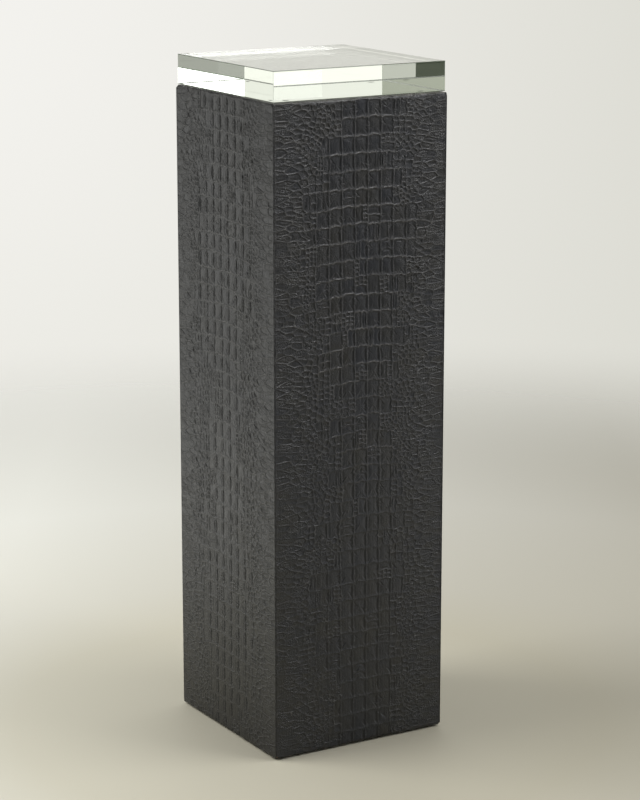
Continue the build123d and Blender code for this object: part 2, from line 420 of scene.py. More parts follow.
class Hide:
    """Scales of one hide, laid out flat: q is x squeezed, y runs down from the top edge of the box."""

    def __init__(self, half, y0, y1, seed, band=True, pebble=1.0):
        self.half, self.y0, self.y1, self.seed = half, y0, y1, seed
        self.rng = np.random.RandomState(seed)
        self.pebble = pebble
        self.even = 0.0
        self.lean, self.low, self.full = 1.0, 0.70, 1.0
        self.groups = []           # one row per scale: kind, row, column
        self.seeds, self.owner = [], []
        if band:
            self.lay_band()
        self.lay_pebbles()
        self.voronoi()

    def bow(self, x, y):
        b = np.interp(y, *zip(*BOW))
        return b * (np.abs(x) / 70.0) ** 1.6

    def add_group(self, kind, row=0, column=0, part=0):
        self.groups.append((kind, row, column, part))
        return len(self.groups) - 1

    def lay_band(self):
        """The large square scales down the middle. Each is a block of seeds whose cells are merged into one scale."""
        rng = self.rng
        self.row_reach = {}
        lift = {}                  # how far each row line is out of true at each column

        def line(k, c):
            return ROW_0 + ROW * k + lift.setdefault((k, c), float(rng.normal(0, 0.8)))

        k0, k1 = int(math.floor((self.y0 - ROW_0) / ROW)) - 1, int(math.ceil((self.y1 - ROW_0) / ROW)) + 1
        for k in range(k0, k1):
            top = ROW_0 + ROW * k
            mid = top + ROW / 2
            reach = []
            for side in (-1, 1):
                w = float(np.interp(mid, *zip(*BAND)))
                w += rng.choice([-14, -4, 6, 6, 22])
                edges = [abs(c) for c in COLUMNS if c * side > 0]
                reach.append(max([e for e in edges if e <= w + 4] or [34.5]))
            columns = [c for c in COLUMNS if -reach[0] - 0.1 <= c <= reach[1] + 0.1]
            jog = {c: float(rng.normal(0, 0.9)) for c in columns}
            for a, b in zip(columns, columns[1:]):
                xa, xb = a + jog[a], b + jog[b]
                split = rng.rand() < (0.20 if abs(a + b) < 80 else 0.35) * (1.0 if mid < 560 else 0.4)
                cut = xa + (xb - xa) * rng.uniform(0.35, 0.65)
                across = rng.rand() < 0.08
                y_top, y_end = line(k, a), line(k + 1, a)
                ids = [self.add_group("band", k, COLUMNS.index(a), part) for part in range(2 if (split or across) else 1)]
                nx, ny = 3, 4
                for i in range(nx):
                    for j in range(ny):
                        x = xa + (xb - xa) * (i + 0.5) / nx
                        y = y_top + (y_end - y_top) * (j + 0.5) / ny + (-0.7 if i == 1 else 0.35)
                        if split:  # seeds stand evenly on each side of the cut
                            part = 0 if i < 2 and (i == 0 or cut - xa > xb - cut) else 1
                            n_left = 2 if cut - xa > xb - cut else 1
                            if part == 0:
                                x = xa + (cut - xa) * (i + 0.5) / n_left
                            else:
                                x = cut + (xb - cut) * (i - n_left + 0.5) / (nx - n_left)
                            owner = ids[part]
                        elif across:
                            owner = ids[0 if j < ny / 2 else 1]
                        else:
                            owner = ids[0]
                        x += rng.normal(0, 0.22)
                        y += rng.normal(0, 0.22) + float(self.bow(x, y))
                        if abs(x) < self.half - 1 and self.y0 + 1 < y < self.y1 - 1:
                            self.seeds.append((float(squeeze(x)), y))
                            self.owner.append(owner)
            # past the band's sides each row breaks up into a few smaller scales
            for n, side in enumerate((-1, 1)):
                at = reach[n]
                start = abs(columns[0] + jog[columns[0]]) if side < 0 else columns[-1] + jog[columns[-1]]
                for step in range(rng.choice([0, 1, 2, 2, 3])):
                    wide = rng.uniform(7.5, 12.0)
                    parts = int(rng.choice([1, 2, 2, 3]))
                    ids = [self.add_group("fringe", k, 100 + 10 * n + step, part) for part in range(parts)]
                    rows = 3 if parts == 3 else 4
                    y_top, y_end = line(k, 100 * side + step), line(k + 1, 100 * side + step)
                    for i in range(2):
                        for j in range(rows):
                            x = side * (start + wide * (i + 0.5) / 2) + rng.normal(0, 0.5)
                            y = y_top + (y_end - y_top) * (j + 0.5) / rows + rng.normal(0, 0.45)
                            y += float(self.bow(x, y))
                            if abs(x) < self.half - 1 and self.y0 + 1 < y < self.y1 - 1:
                                self.seeds.append((float(squeeze(x)), y))
                                self.owner.append(ids[j * parts // rows])
                    start += wide
                    at = start
                reach[n] = at
            self.row_reach[k] = reach

    def in_band(self, x, y):
        yy = y - float(self.bow(x, y))
        k = int(math.floor((yy - ROW_0) / ROW))
        reach = self.row_reach.get(k)
        if reach is None:
            return False
        return -reach[0] - 2.2 < x < reach[1] + 2.2

    def lay_pebbles(self):
        """Small scales everywhere else, thrown at random and kept a varying distance apart."""
        rng = self.rng
        qh = float(squeeze(self.half))
        cell = 6.0
        grid = {}
        taken = list(self.seeds)

        def put(i, p):
            grid.setdefault((int(p[0] // cell), int(p[1] // cell)), []).append(i)

        for i, p in enumerate(taken):
            put(i, p)
        tries = 26000
        q = rng.uniform(-qh + 0.8, qh - 0.8, tries)
        y = rng.uniform(self.y0 + 0.8, self.y1 - 0.8, tries)
        x = unsqueeze(q)
        size = lattice_noise(x, y, 34.0, self.seed + 11) * 0.6 + lattice_noise(x, y, 13.0, self.seed + 12) * 0.4
        radius = self.pebble * (5.4 + 2.6 * size + 1.6 * np.clip((np.abs(x) - 95) / 50, 0, 1))
        radius = np.clip(radius, 3.7 * self.pebble, 11.0)
        reach = getattr(self, "row_reach", None)
        for n in range(tries):
            px, py, r = float(q[n]), float(y[n]), float(radius[n])
            if reach is not None and self.in_band(float(x[n]), py):
                continue
            gi, gj = int(px // cell), int(py // cell)
            span = int(r // cell) + 1
            ok = True
            for i in range(gi - span, gi + span + 1):
                for j in range(gj - span, gj + span + 1):
                    for k in grid.get((i, j), ()):
                        ax, ay = taken[k]
                        if (ax - px) ** 2 + (ay - py) ** 2 < r * r:
                            ok = False
                            break
                    if not ok:
                        break
                if not ok:
                    break
            if ok:
                put(len(taken), (px, py))
                taken.append((px, py))
                self.seeds.append((px, py))
                self.owner.append(self.add_group("pebble"))

    def voronoi(self):
        """Cells from a Delaunay triangulation. Seeds near the border are mirrored over it, so the cells end on it exactly."""
        qh = float(squeeze(self.half))
        pts = np.array(self.seeds)
        own = list(self.owner)
        extra, reach = [], 26.0
        for p in pts:
            xs = [p[0]] + ([-2 * qh - p[0]] if p[0] < -qh + reach else []) + ([2 * qh - p[0]] if p[0] > qh - reach else [])
            ys = [p[1]] + ([2 * self.y0 - p[1]] if p[1] < self.y0 + reach else []) + ([2 * self.y1 - p[1]] if p[1] > self.y1 - reach else [])
            for a in xs:
                for b in ys:
                    if (a, b) != (p[0], p[1]):
                        extra.append((a, b))
        every = np.vstack([pts, np.array(extra)])
        own += [-1] * len(extra)
        out = geometry.delaunay_2d_cdt([Vector(p) for p in every], [], [], 0, 1e-6)
        verts = np.array([tuple(v) for v in out[0]])
        origin = [o[0] if o else -1 for o in out[3]]
        tris = np.array([f for f in out[2] if len(f) == 3])
        a, b, c = verts[tris[:, 0]], verts[tris[:, 1]], verts[tris[:, 2]]
        d = 2 * (a[:, 0] * (b[:, 1] - c[:, 1]) + b[:, 0] * (c[:, 1] - a[:, 1]) + c[:, 0] * (a[:, 1] - b[:, 1]))
        d[np.abs(d) < 1e-9] = 1e-9
        a2, b2, c2 = (a ** 2).sum(1), (b ** 2).sum(1), (c ** 2).sum(1)
        centre = np.stack([
            (a2 * (b[:, 1] - c[:, 1]) + b2 * (c[:, 1] - a[:, 1]) + c2 * (a[:, 1] - b[:, 1])) / d,
            (a2 * (c[:, 0] - b[:, 0]) + b2 * (a[:, 0] - c[:, 0]) + c2 * (b[:, 0] - a[:, 0])) / d,
        ], 1)
        sides = {}
        for n, tri in enumerate(tris):
            for i in range(3):
                u, v = int(tri[i]), int(tri[(i + 1) % 3])
                sides.setdefault((min(u, v), max(u, v)), []).append(n)
        # very short cell edges are closed up
        parent = list(range(len(tris)))

        def find(i):
            while parent[i] != i:
                parent[i] = parent[parent[i]]
                i = parent[i]
            return i

        for ts in sides.values():
            if len(ts) == 2 and np.hypot(*(centre[ts[0]] - centre[ts[1]])) < 1.1:
                parent[find(ts[0])] = find(ts[1])
        root = np.array([find(i) for i in range(len(tris))])
        total, count = np.zeros_like(centre), np.zeros(len(tris))
        np.add.at(total, root, centre)
        np.add.at(count, root, 1)
        place = total / np.maximum(count, 1)[:, None]
        eps = 0.6
        on_border = np.zeros((len(tris), 2), bool)
        for n in range(len(tris)):
            r = root[n]
            if abs(abs(centre[n, 0]) - qh) < 1e-3:
                place[r, 0] = math.copysign(qh, centre[n, 0])
                on_border[r, 0] = True
            if abs(centre[n, 1] - self.y0) < 1e-3:
                place[r, 1] = self.y0
                on_border[r, 1] = True
            if abs(centre[n, 1] - self.y1) < 1e-3:
                place[r, 1] = self.y1
                on_border[r, 1] = True
        place[:, 0] = unsqueeze(place[:, 0])
        self.place, self.on_border = place, on_border
        for _ in range(3):
            self.trace(sides, root, centre, verts, origin, own)
            bad = {g for g, loops in self.loops.items() if self.groups[g][0] != "pebble" and not all(map(self.whole, loops))}
            if not bad:
                break
            for n, g in enumerate(own):
                if g in bad:
                    own[n] = self.add_group("pebble")

    def whole(self, loop):
        """Whether some point sees the whole of a scale, with room to spare."""
        co = self.place[loop]
        x0, y0, x1, y1 = co[:, 0], co[:, 1], np.roll(co[:, 0], -1), np.roll(co[:, 1], -1)
        cross = x0 * y1 - x1 * y0
        area = cross.sum() / 2
        if abs(area) < 0.8:
            return True
        c = np.array([((x0 + x1) * cross).sum(), ((y0 + y1) * cross).sum()]) / (6 * area)
        return heart(co, c, 1.0 if area > 0 else -1.0)[1] > (1.2 if abs(area) > 60 else 0.5)

    def trace(self, sides, root, centre, verts, origin, own):
        """Edges between scales, each carrying the scale on its left, walked either way; and each scale's outline."""
        half = {}
        for (u, v), ts in sides.items():
            if len(ts) != 2:
                continue
            p, q = int(root[ts[0]]), int(root[ts[1]])
            if p == q:
                continue
            cp, cq = centre[ts[0]], centre[ts[1]]
            su = verts[u]
            if (cq[0] - cp[0]) * (su[1] - cp[1]) - (cq[1] - cp[1]) * (su[0] - cp[0]) < 0:
                p, q = q, p
            half.setdefault((p, q), []).append(own[origin[u]])
            half.setdefault((q, p), []).append(own[origin[v]])
        self.edges, directed = {}, {}
        for (p, q) in list(half):
            if p > q:
                continue
            left, right = list(half[(p, q)]), list(half.get((q, p), []))
            for g in list(left):
                if g in right:     # the same scale on both sides: nothing to cut here
                    left.remove(g)
                    right.remove(g)
            if not left or not right:
                continue
            self.edges[(p, q)] = (left[0], right[0])
            for g, a, b in ((left[0], p, q), (right[0], q, p)):
                if g >= 0:
                    directed.setdefault(g, []).append((a, b))
        self.loops = {}
        for g, es in directed.items():
            after = {}
            for a, b in es:
                after.setdefault(a, []).append(b)
            loops = []
            while after:
                start = next(iter(after))
                walk = [start]
                while True:
                    at = walk[-1]
                    if at not in after:
                        walk = []
                        break
                    nxt = after[at].pop()
                    if not after[at]:
                        del after[at]
                    if nxt in walk:          # closed, or pinched at a corner
                        k = walk.index(nxt)
                        loops.append(walk[k:])
                        walk = walk[: k + 1]
                        if k == 0:
                            break
                    else:
                        walk.append(nxt)
            loops = [loop for loop in loops if len(loop) > 2]
            if loops:
                self.loops[g] = loops


def ridge_of(hide, gu, gv, rng, y):
    """The raised line between two scales: depth of the pit beside it, width of its flank, height of its crest, how
    strong the painted highlight on its crest is, and what kind of line it is."""
    if gu < 0 or gv < 0:
        return 0.0, 0.35, 0.0, 0.0, "border"
    a, b = hide.groups[gu], hide.groups[gv]
    if a[0] != "pebble" and b[0] != "pebble":
        plain = a[0] == b[0] == "band"
        if a[1] != b[1]:
            # force sets how deep and high a row stands and how strong the painted highlight on its crest is: most near
            # the top of the hide, less lower down
            force = float(np.interp(ROW_0 + ROW * max(a[1], b[1]), [0, 300, 520, 700, 1010], [1.0, 1.0, 0.70, 0.42, 0.40]))
            force *= rng.choice([0.6, 1.0, 1.0, 1.1]) * (1.0 if plain else 0.85)
            return (0.25 + force * rng.uniform(0.40, 0.60), rng.uniform(1.6, 2.1), force * rng.uniform(0.30, 0.44),
                    min(1.0, force * rng.uniform(0.8, 1.1)), "row")
        if plain and a[2] == b[2]:
            return rng.uniform(0.45, 1.00), rng.uniform(0.9, 1.3), rng.uniform(-0.20, 0.12), rng.uniform(0.1, 0.5), "crease"
        if plain:
            return rng.uniform(1.20, 1.60), rng.uniform(2.0, 2.8), rng.uniform(0.14, 0.34), rng.uniform(0.1, 0.5), "column"
        return rng.uniform(0.70, 1.15), rng.uniform(1.2, 1.7), rng.uniform(0.10, 0.32), rng.uniform(0.2, 0.8), "mixed"
    if a[0] == "band" or b[0] == "band":
        return rng.uniform(0.70, 1.10), rng.uniform(1.2, 1.7), rng.uniform(0.10, 0.34), rng.uniform(0.3, 0.9), "mixed"
    force = rng.choice([0.45, 0.75, 1.0, 1.1, 1.35]) * float(np.interp(y, [0, 260, 400, 760], [1.0, 1.0, 0.85 if hide.low < 1 else 1.0, hide.low]))
    return (force * rng.uniform(0.65, 1.0), rng.uniform(1.05, 1.5), force * rng.uniform(0.14, 0.30),
            min(1.0, force * rng.uniform(0.45, 0.95)), "pebble")


def emboss(hide, strength):
    """Explicit mesh of the scales: vertices (x, y, height), faces, painted crest highlight, painted pit shade and tone
    values, and the ordered border.
    """
    rng = np.random.RandomState(hide.seed + 5)
    V, G, PIT_SHADE, TONE, EVEN, F = [], [], [], [], [], []
    node_id, edge_ids, edge_info, highlight_caps = {}, {}, {}, set()
    node_height = {}
    for key, (gu, gv) in sorted(hide.edges.items()):
        edge_info[key] = ridge_of(hide, gu, gv, rng, float(hide.place[key[0], 1]))
        kind = edge_info[key][4]
        for n in key:
            node_height.setdefault(n, []).append(edge_info[key][2:4] if kind != "border" else None)
    P = hide.place

    def strength_at(x, y):
        return float(strength(x, y))

    def add_vertex(x, y, h, crest, pit, tone, even=0.35):
        V.append((x, y, h))
        G.append(crest)
        PIT_SHADE.append(pit)
        TONE.append(tone)
        EVEN.append(even)
        return len(V) - 1

    for n, heights in sorted(node_height.items()):
        x, y = P[n]
        real = [d for d in heights if d is not None]
        h = sum(d[0] for d in real) / len(real) if real else 0.0
        crest_highlight = sum(d[1] for d in real) / len(real) if real else 0.0
        if len(real) < len(heights):
            h *= 0.4
        node_id[n] = add_vertex(x, y, h * strength_at(x, y), crest_highlight, 0.0, 0.5)
    for key in sorted(edge_info):
        depth, width, crest, crest_highlight, kind = edge_info[key]
        p, q = P[key[0]], P[key[1]]
        length = float(np.hypot(*(q - p)))
        step = {"row": 3.2, "column": 3.0, "crease": 4.0, "mixed": 3.6, "border": 6.0, "pebble": 4.6}[kind]
        parts = max(1, int(round(length / step)))
        normal = np.array([-(q - p)[1], (q - p)[0]]) / max(length, 1e-6)
        ids = []
        for i in range(1, parts):
            f = i / parts
            at = p + (q - p) * f
            h = crest
            if kind != "border":
                at = at + normal * rng.uniform(-0.34, 0.34)
                h = crest * rng.uniform(0.7, 1.2)
            # painted highlight along the crest line
            wear_and_highlight = crest_highlight * rng.uniform(0.7, 1.0)
            if kind in ("column", "crease"):
                h -= 0.25 * (1 - math.sin(math.pi * f))
            if kind == "column":             # its upper end runs out into a raised cap with a painted highlight
                up = f if p[1] < q[1] else 1 - f
                cap = max(0.0, 1 - up / 0.50)
                h += 0.30 * cap
                wear_and_highlight = max(wear_and_highlight, min(1.0, 1.3 * cap))
            ids.append(add_vertex(at[0], at[1], h * strength_at(*at), wear_and_highlight, 0.0, 0.5))
            if kind == "column" and cap > 0.15:
                highlight_caps.add(ids[-1])
        edge_ids[key] = ids
    for g, loop in [(g, loop) for g in sorted(hide.loops) for loop in hide.loops[g]]:
        kind = hide.groups[g][0]
        ring, width, ends, depths, slot = [], [], [], [], []
        m = len(loop)
        middle = float(np.mean([P[n][0] for n in loop]))
        for i in range(m):
            p, q = loop[i], loop[(i + 1) % m]
            key = (min(p, q), max(p, q))
            ids = edge_ids[key] if p < q else edge_ids[key][::-1]
            before = (min(loop[i - 1], p), max(loop[i - 1], p))
            here = [edge_info[key], edge_info[before]]
            ring.append(node_id[p])
            width.append((here[0][1] + here[1][1]) / 2)
            ends.append((key, before))
            shallow = min(here[0][0], here[1][0]) if "border" not in (here[0][4], here[1][4]) else max(here[0][0], here[1][0])
            depths.append(0.6 * shallow if kind != "pebble" else 0.85 * shallow)
            slot.append(0.0)
            for n_, j in enumerate(ids):
                ring.append(j)
                wide, open_ = edge_info[key][1], 0.0
                ends.append((key, key))
                d = edge_info[key][0]
                if edge_info[key][4] in ("column", "crease"):     # a slot: deepest half way up, and on one side of the line
                    f = (n_ + 1) / (len(ids) + 1)
                    d *= 0.35 + 0.90 * math.sin(math.pi * f) ** 1.1
                    near_side = (V[j][0] - middle) * hide.lean > 0
                    d = min(1.60, d * 1.15) if near_side else 0.62 * d
                    wide *= 1.2 if near_side else 0.85
                    if near_side and edge_info[key][4] == "column":
                        open_ = math.sin(math.pi * f)
                slot.append(open_)
                width.append(wide)
                depths.append(d * rng.uniform(0.9, 1.1))
        co = np.array([V[i][:2] for i in ring])
        x0, y0, x1, y1 = co[:, 0], co[:, 1], np.roll(co[:, 0], -1), np.roll(co[:, 1], -1)
        cross = x0 * y1 - x1 * y0
        area = cross.sum() / 2
        if abs(area) < 0.8:
            c = co.mean(0)
            centre = add_vertex(c[0], c[1], -0.1, 0.4, 0.3, 0.5)
            for i in range(len(ring)):
                F.append((ring[i], ring[(i + 1) % len(ring)], centre))
            continue
        c = np.array([((x0 + x1) * cross).sum(), ((y0 + y1) * cross).sum()]) / (6 * area)
        turn = 1.0 if area > 0 else -1.0
        c, room = heart(co, c, turn)
        area = abs(area)
        if room < 0.05:                  # no point sees the whole ring: fill it flat
            poly = geometry.tessellate_polygon([[Vector((x, y, 0)) for x, y in co]])
            for a, b, d in poly:
                ab, ad = co[b] - co[a], co[d] - co[a]
                up = ab[0] * ad[1] - ab[1] * ad[0]
                F.append((ring[a], ring[b], ring[d]) if up * turn > 0 else (ring[a], ring[d], ring[b]))
            continue
        reach = {}
        for (k1, k2) in ends:
            for k in (k1, k2):
                if k not in reach:
                    a, b = P[k[0]], P[k[1]]
                    e = b - a
                    reach[k] = max(0.8, abs(e[0] * (c - a)[1] - e[1] * (c - a)[0]) / max(float(np.hypot(*e)), 1e-6))
        size = math.sqrt(area)
        k = strength_at(*c)
        tone = float(rng.rand())
        big = size > 13
        level = rng.uniform(0.22, 0.36) if big else rng.uniform(0.15, 0.45)      # how far the scale lies below the surface
        crown = rng.uniform(0.05, 0.25)
        if kind == "band":          # the middle scales are the smoothest
            even = rng.uniform(0.65, 1.0) * float(np.interp(abs(c[0]), [0, 40, 95], [1.0, 0.9, 0.45]))
        elif kind == "fringe":
            even = max(hide.even, rng.uniform(0.1, 0.7))
        else:
            even = max(hide.even, rng.choice([0.0, 0.0, 0.3, 0.6]))

        def inset(extra):
            t = []
            for w, (k1, k2) in zip(width, ends):
                f = (w + extra) / reach[k1]
                if k1 != k2:
                    f = 1.12 * max(f, (w + extra) / reach[k2])
                t.append(f)
            return np.array(t)

        t1 = np.clip(inset(0.0), 0, 0.60)
        rings = [ring]
        heights0 = np.array([V[i][2] for i in ring])
        slot = np.array(slot)
        # the slots stay open lower down, and nothing reaches the back of the hide
        valley = -np.minimum(np.array(depths) * (k + slot * max(0.0, 0.95 * hide.full - k)), 1.58)
        # each ring: how far in it stands, its height, its painted crest highlight and its painted pit shade
        specs = [(t1 * 0.52, 0.45 * heights0 + 0.55 * valley, 0.35, 0.35), (t1, valley, 0.0, 1.0)]
        if big:
            t2 = np.maximum(np.clip(inset(1.9), 0, 0.80), t1 + 0.12)
            t3 = np.maximum(np.clip(inset(4.8), 0, 0.90), t2 + 0.07)
            flat = np.full(len(ring), -level * k)
            specs += [(t2, 0.8 * flat + 0.2 * valley, 0.12, 0.15), (t3, flat + crown * 0.85 * k, 0.10, 0.0)]
        for level_, (t, base, crest, pit) in enumerate(specs):
            new = []
            if level_ == 0:            # a slot drops steeply beside its line, and its floor is broad
                base = base + slot * (0.25 * heights0 + 0.75 * valley - base)
            elif level_ == 2:
                base = base + slot * (0.50 * flat + 0.50 * valley - base)
            # painted shade: the pits darken more in the open slots and where they are deeper; the column caps keep a
            # painted highlight
            dark = pit + slot * {0: 0.45, 1: 0.0, 2: 0.45, 3: 0.0}[level_]
            for i in range(len(ring)):
                xy = co[i] + (c - co[i]) * t[i]
                wear_and_highlight = 0.85 if crest > 0.3 and ring[i] in highlight_caps else crest
                jitter = 0.025 if level_ < 2 else 0.010
                new.append(add_vertex(xy[0], xy[1], base[i] + rng.uniform(-jitter, jitter), wear_and_highlight,
                                      dark[i] * min(1.0, depths[i] / 0.9), tone, even))
            rings.append(new)
        n = len(ring)
        for r0, r1 in zip(rings, rings[1:]):
            for i in range(n):
                j = (i + 1) % n
                F.append((r0[i], r0[j], r1[j], r1[i]))
        centre = add_vertex(c[0], c[1], (-level + crown) * k if big else (-level * 0.9 - 0.1 + crown) * k, 0.1, 0.0, tone,
                            even)
        last = rings[-1]
        for i in range(n):
            F.append((last[i], last[(i + 1) % n], centre))
    V = np.array(V)
    # the whole layout wanders a little, and stays straight along the border
    edge = np.minimum.reduce([hide.half - np.abs(V[:, 0]), V[:, 1] - hide.y0, hide.y1 - V[:, 1]])
    fade = np.clip(edge / 6.0, 0, 1)
    fade = fade * fade * (3 - 2 * fade)
    for amount, scale, seed in ((0.9, 42.0, 1), (0.42, 12.0, 3)):
        V[:, 0] += fade * amount * lattice_noise(V[:, 0], V[:, 1], scale, hide.seed + seed)
        V[:, 1] += fade * amount * lattice_noise(V[:, 0], V[:, 1], scale, hide.seed + seed + 20)
    V[:, 2] += 0.06 * lattice_noise(V[:, 0], V[:, 1], 60.0, hide.seed + 30)
    # border, in order
    near = {}
    for key, info in edge_info.items():
        if info[4] == "border":
            chain = [node_id[key[0]], *edge_ids[key], node_id[key[1]]]
            for a, b in zip(chain, chain[1:]):
                near.setdefault(a, []).append(b)
                near.setdefault(b, []).append(a)
    start = min(near, key=lambda i: (V[i, 0] + V[i, 1]))
    border, prev, at = [start], None, start
    while True:
        nxt = [w for w in near[at] if w != prev]
        if not nxt or nxt[0] == start:
            break
        prev, at = at, nxt[0]
        border.append(at)
        if len(border) > len(near) + 2:
            break
    xy = V[border]
    if np.sum(xy[:, 0] * np.roll(xy[:, 1], -1) - np.roll(xy[:, 0], -1) * xy[:, 1]) < 0:
        border = border[::-1]
    return V, F, {"crest": G, "pit": PIT_SHADE, "tone": TONE, "even": EVEN}, border


def sheet_mesh(name, hide, place, strength, edge_r, thick):
    """A closed sheet: the embossed face, rounded cut edges, and a flat back. place(x, y, depth) gives its points in mm."""
    V, F, values_at, border = emboss(hide, strength)
    outer = place(V[:, 0], V[:, 1], -V[:, 2])
    points, faces = [outer], [tuple(f) for f in F]
    n = len(outer)
    bx, by, bh = V[border, 0], V[border, 1], V[border, 2]
    dx = np.where(np.abs(np.abs(bx) - hide.half) < 1e-3, np.sign(bx), 0.0)
    dy = np.where(np.abs(by - hide.y0) < 1e-3, -1.0, np.where(np.abs(by - hide.y1) < 1e-3, 1.0, 0.0))
    rings = [list(border)]
    m = len(border)
    for angle in (30, 60, 90, None):
        if angle is None:
            side, deep = edge_r, np.full(m, thick)
        else:
            side = edge_r * math.sin(math.radians(angle))
            deep = -bh * (1 - angle / 90) + edge_r * (1 - math.cos(math.radians(angle)))
        points.append(place(bx + dx * side, by + dy * side, deep))
        rings.append(list(range(n, n + m)))
        n += m
    for r0, r1 in zip(rings, rings[1:]):
        for i in range(m):
            j = (i + 1) % m
            faces.append((r0[j], r0[i], r1[i], r1[j]))
    # the flat back, strip by strip between the folds
    back = rings[-1]
    levels = [hide.y0 - 1, *hide.folds, hide.y1 + 1]
    left = sorted([i for i in range(m) if dx[i] < 0], key=lambda i: by[i])
    right = sorted([i for i in range(m) if dx[i] > 0], key=lambda i: by[i])
    top = sorted([i for i in range(m) if dy[i] < 0 and dx[i] == 0], key=lambda i: bx[i])
    bottom = sorted([i for i in range(m) if dy[i] > 0 and dx[i] == 0], key=lambda i: bx[i])
    for a, b in zip(levels, levels[1:]):
        l = [i for i in left if a - 1e-6 <= by[i] <= b + 1e-6]
        r = [i for i in right if a - 1e-6 <= by[i] <= b + 1e-6]
        # neighbouring strips share their last points
        if b < levels[-1]:
            l.append(next(i for i in left if by[i] > b))
            r.append(next(i for i in right if by[i] > b))
        poly = l + (bottom if b == levels[-1] else []) + r[::-1] + (top[::-1] if a == levels[0] else [])
        faces.append(tuple(back[i] for i in poly))
    pts = np.vstack(points) * MM
    faces = [tuple(f[::-1]) for f in faces]      # wound so that they face out
    mesh = bpy.data.meshes.new(name)
    mesh.from_pydata(pts.tolist(), [], faces)
    mesh.validate()
    for key, values in values_at.items():
        full = np.zeros(len(pts), np.float32)
        full[: len(values)] = values
        if key == "tone":
            full[len(values):] = 0.5
        attribute = mesh.attributes.new(key, "FLOAT", "POINT")
        attribute.data.foreach_set("value", full)
    mesh.shade_smooth()
    for p in mesh.polygons[-(len(levels) - 1):]:
        p.use_smooth = False
    mesh.materials.append(LEATHER)
    o = bpy.data.objects.new(name, mesh)
    scene.collection.objects.link(o)
    return o


FLAT = TURN - FOLD_R
ARC = math.pi / 2 * FOLD_R
TOP_END = -(FLAT + ARC) + FOLD_R       # y is measured from the box's top edge, so the face runs from FOLD_R down
BODY_H = BODY_Z1 - BODY_Z0


def box_place(side, half):
    """Points of a side hide: down the top turn, over the fold, down the face, under the bottom fold and turn."""

    def place(x, y, depth):
        x, y, depth = np.broadcast_arrays(np.asarray(x, float), np.asarray(y, float), np.asarray(depth, float))
        s = y - (FOLD_R - ARC - FLAT)                    # from the inner end of the top turn
        out, z = np.zeros_like(s), np.zeros_like(s)
        no, nz = np.zeros_like(s), np.zeros_like(s)
        face = BODY_H - 2 * FOLD_R
        a = s < FLAT
        out[a], z[a], no[a], nz[a] = BODY_HALF - TURN + s[a], BODY_Z1, 0, 1
        b = (s >= FLAT) & (s < FLAT + ARC)
        g = (s[b] - FLAT) / FOLD_R
        out[b] = BODY_HALF - FOLD_R + FOLD_R * np.sin(g)
        z[b] = BODY_Z1 - FOLD_R + FOLD_R * np.cos(g)
        no[b], nz[b] = np.sin(g), np.cos(g)
        c = (s >= FLAT + ARC) & (s < FLAT + ARC + face)
        out[c], z[c], no[c], nz[c] = BODY_HALF, BODY_Z1 - FOLD_R - (s[c] - FLAT - ARC), 1, 0
        d = (s >= FLAT + ARC + face) & (s < FLAT + 2 * ARC + face)
        g = (s[d] - FLAT - ARC - face) / FOLD_R
        out[d] = BODY_HALF - FOLD_R + FOLD_R * np.cos(g)
        z[d] = BODY_Z0 + FOLD_R - FOLD_R * np.sin(g)
        no[d], nz[d] = np.cos(g), -np.sin(g)
        e = s >= FLAT + 2 * ARC + face
        out[e], z[e], no[e], nz[e] = BODY_HALF - FOLD_R - (s[e] - FLAT - 2 * ARC - face), BODY_Z0, 0, -1
        deep = np.where(b | d, np.minimum(depth, FOLD_R - 0.1), depth)
        # the turned edges narrow to their mitres
        inward = BODY_HALF - out
        room = np.minimum(half, BODY_HALF - inward - 0.1)
        x = x * np.where((a | e) | (b | d), room / half, 1.0)
        out, z = out - no * deep, z - nz * deep
        if side == "front":
            return np.stack([x, -out, z], 1)
        if side == "back":
            return np.stack([-x, out, z], 1)
        if side == "left":
            return np.stack([-out, -x, z], 1)
        return np.stack([out, x, z], 1)

    return place


def side_strength(seed, full):
    """How strongly the scales stand: full in the middle, pressed flatter in patches near the edges and lower down."""

    def f(x, y):
        x1, y1 = np.array([x]), np.array([y])
        patch = float(lattice_noise(x1, y1, 55.0, seed + 40)[0])
        side = min(1.0, max(0.0, (abs(x) - 100) / 50))
        low = min(1.0, max(0.0, (y - 560) / 400))
        k = 1.0 - 0.35 * side - 0.55 * max(0.0, patch) * (0.35 + 0.65 * side) - 0.22 * low
        fold = min(1.0, max(0.0, min(y - 0.0, BODY_H - y) / 5.0))
        return full * max(0.12, k) * (0.35 + 0.65 * fold)

    return f


for seed, side, full in ((101, "front", 1.15), (211, "left", 0.70), (307, "back", 0.95), (401, "right", 0.90)):
    total = BODY_HALF if side in ("left", "right") else FRONT_HALF
    edge = 0.7 if side in ("left", "right") else 0.9
    y0 = FOLD_R - ARC - FLAT
    y1 = BODY_H - FOLD_R + ARC + FLAT
    hide = Hide(total - edge, y0, y1, seed, pebble=1.12 if side == "left" else 1.0)
    hide.even = 0.55 if side == "left" else 0.0
    hide.lean = -1.0 if side in ("left", "right") else 1.0
    hide.low = 1.0 if side == "left" else 0.70
    hide.full = full
    hide.folds = [FOLD_R - ARC / 2, BODY_H - FOLD_R + ARC / 2]
    piece = sheet_mesh(f"embossed_hide_{side}", hide, box_place(side, total), side_strength(seed, full), edge, HIDE_T - 0.05)
    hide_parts(f"hide_{side}")
    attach(piece, "plinth")
    print(piece.name, len(piece.data.vertices), sum(len(p.vertices) - 2 for p in piece.data.polygons))


def deck_place(x, y, depth):
    x, y, depth = np.broadcast_arrays(np.asarray(x, float), np.asarray(y, float), np.asarray(depth, float))
    return np.stack([x, -y, DECK_Z1 - depth], 1)


